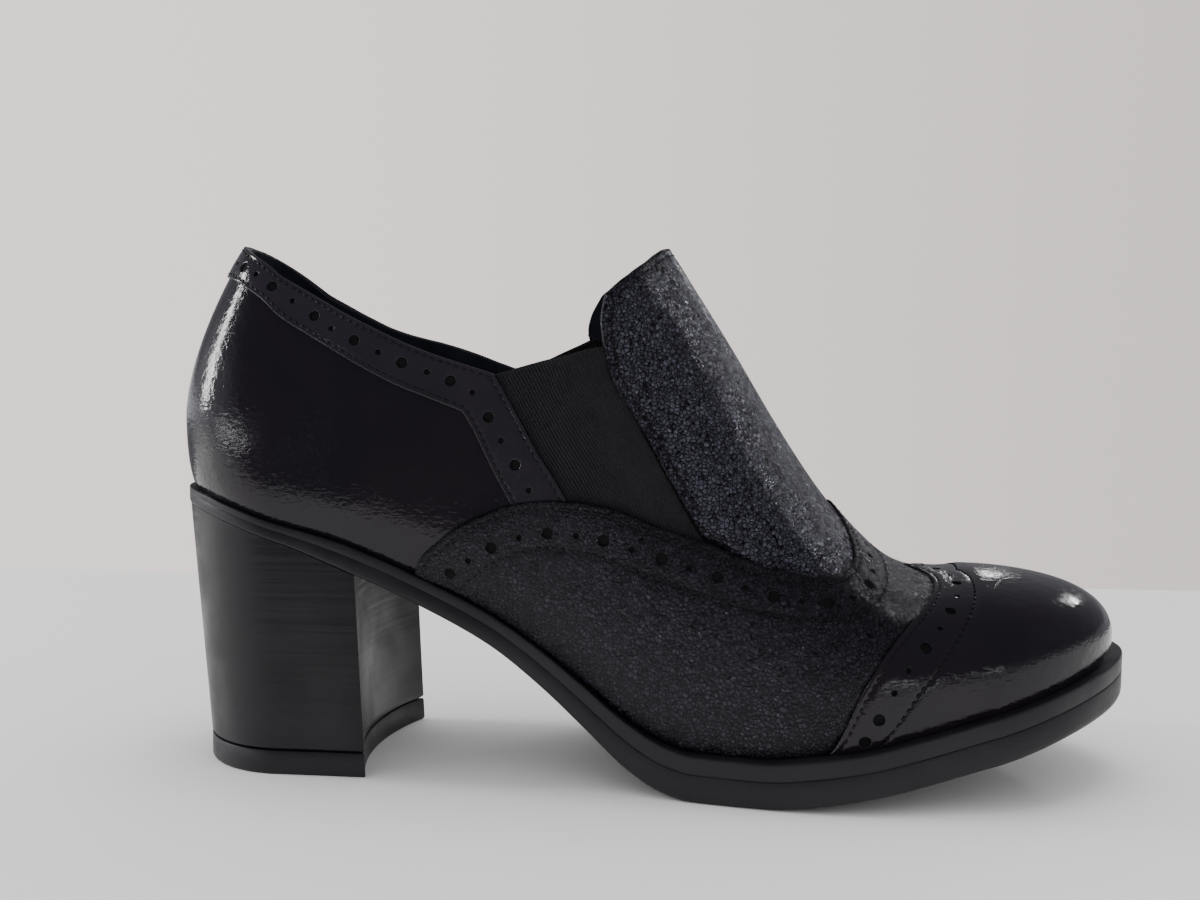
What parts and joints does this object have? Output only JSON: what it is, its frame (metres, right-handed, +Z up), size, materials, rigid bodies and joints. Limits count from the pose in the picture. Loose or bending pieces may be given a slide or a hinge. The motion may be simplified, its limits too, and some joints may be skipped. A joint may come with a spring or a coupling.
{
  "type": "platform heel shoe",
  "caption": "Women's slip-on shoe with block heel, elastic side gussets, high tongue, winged vamp and winged toe cap on a low platform sole.",
  "frame": {"origin": "on the floor under the middle of the shoe's box", "axes": "+X from heel to toe, +Y to the inner side of the foot, +Z up"},
  "size_m": [0.24, 0.0906, 0.1316],
  "materials": {
    "rubber_sole": "satin matte black",
    "heel_cover": "satin black with faint stacked lines",
    "rubber_lift": "matte black",
    "lining": "matte near-black",
    "patent": "mirror-gloss patent black",
    "grained": "crackled metallic black grain",
    "elastic": "ribbed matte black elastic"
  },
  "bodies": {
    "root": {"outsole": "rubber_sole", "heel": "heel_cover", "heel_lift": "rubber_lift", "insole": "lining", "upper": "patent", "gore_lateral": "elastic", "gore_medial": "elastic", "tongue": "grained", "vamp_wing": "grained", "toe_cap": "patent", "collar_band": "patent"}
  },
  "joints": []
}
